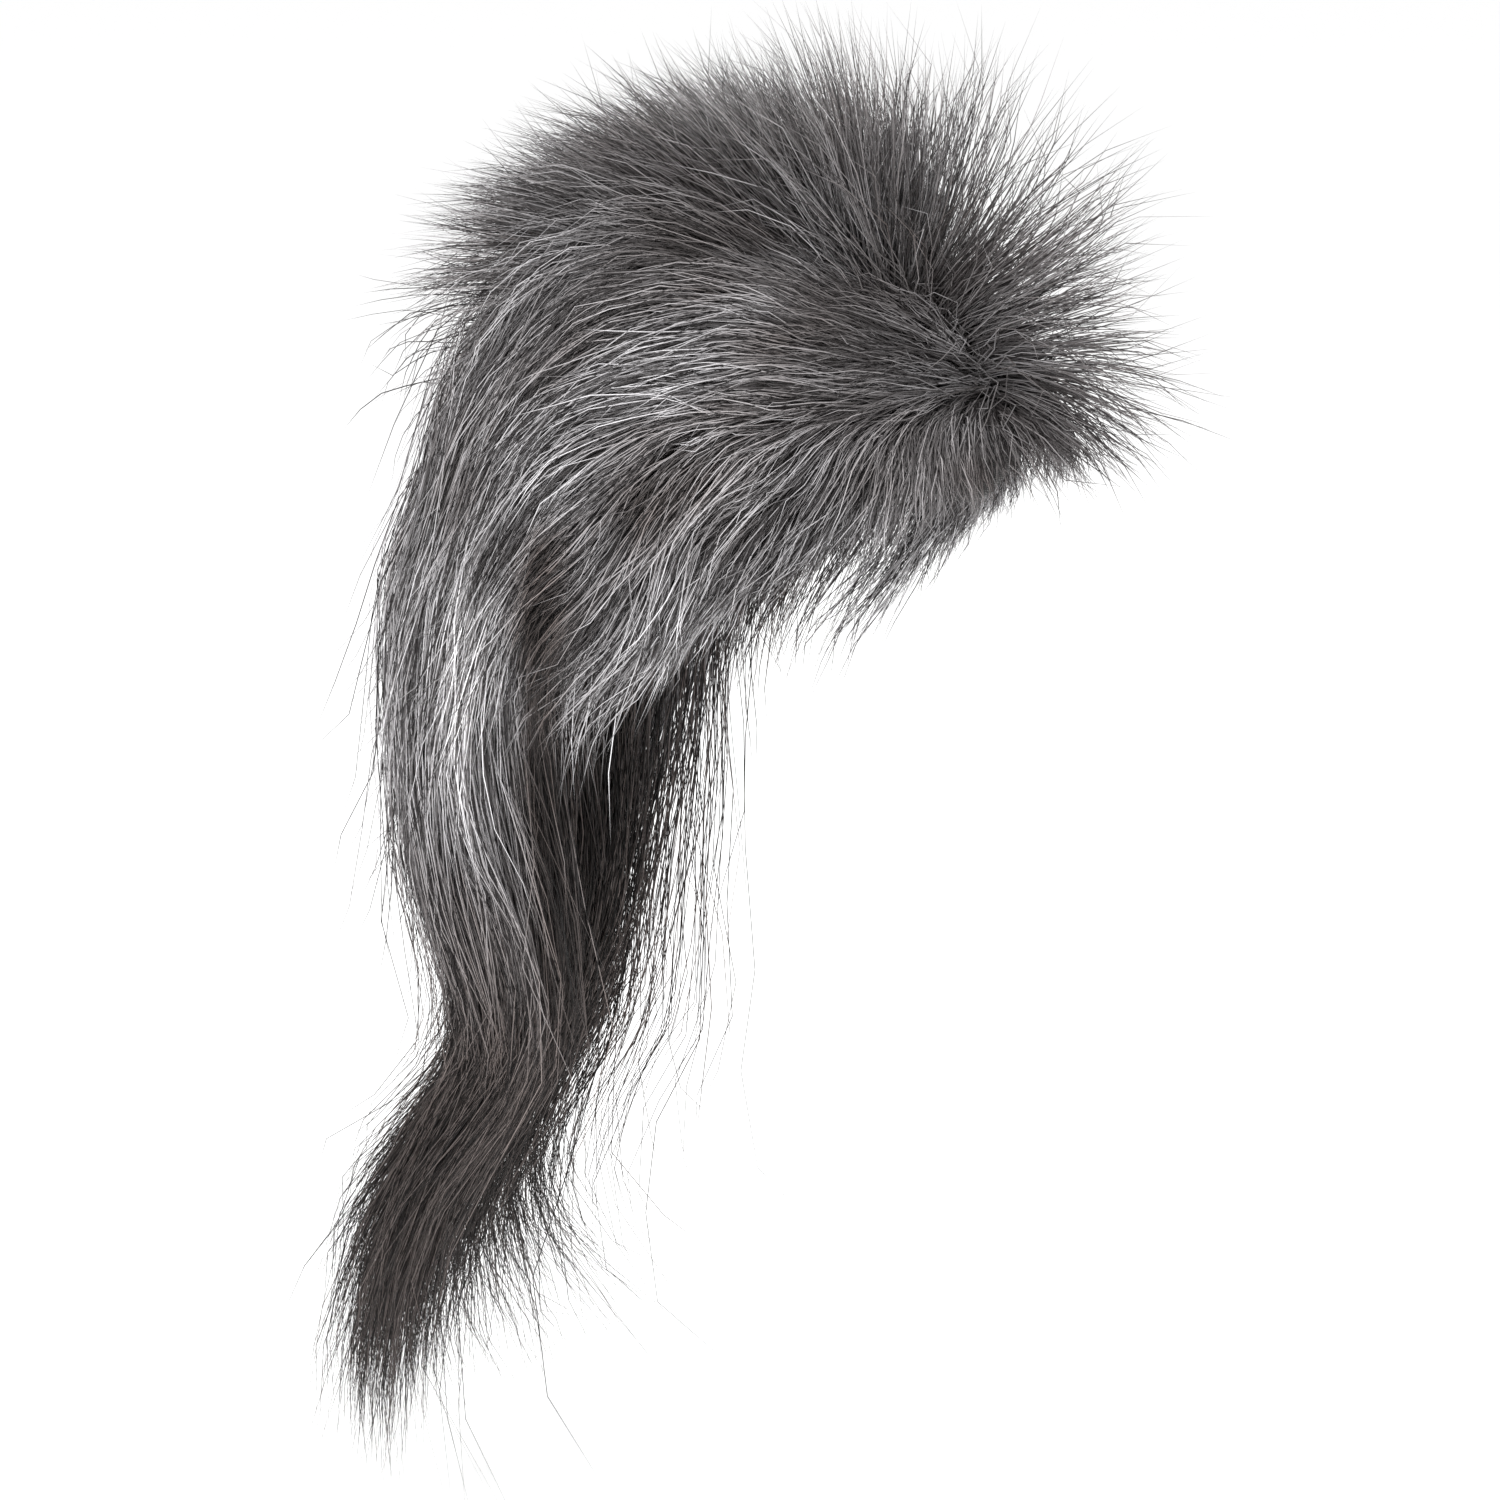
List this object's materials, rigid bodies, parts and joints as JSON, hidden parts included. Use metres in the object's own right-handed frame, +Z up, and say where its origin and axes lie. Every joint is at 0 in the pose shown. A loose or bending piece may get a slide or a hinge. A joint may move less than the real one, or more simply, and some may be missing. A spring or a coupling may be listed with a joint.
{
  "type": "mullet wig",
  "caption": "Grey mullet wig with a spiky crest, short fringe, swept-back sides and a long flicked tail on a close-fitting stretch cap.",
  "frame": {"origin": "inside of the cap at the crown, where it rests on the top of the head", "axes": "+Z up, -Y the way the face looks, +X towards the wearer's left"},
  "size_m": [0.1775, 0.3185, 0.5027],
  "materials": {
    "cap_net": "dark stretch net with an elastic hem",
    "grey_hair": "salt-and-pepper synthetic hair with a soft sheen"
  },
  "bodies": {
    "root": {"wig_cap": "cap_net", "crest_hair": "grey_hair", "fringe_hair": "grey_hair", "side_hair_right": "grey_hair", "side_hair_left": "grey_hair", "back_hair": "grey_hair", "tail_hair": "grey_hair"}
  },
  "joints": []
}
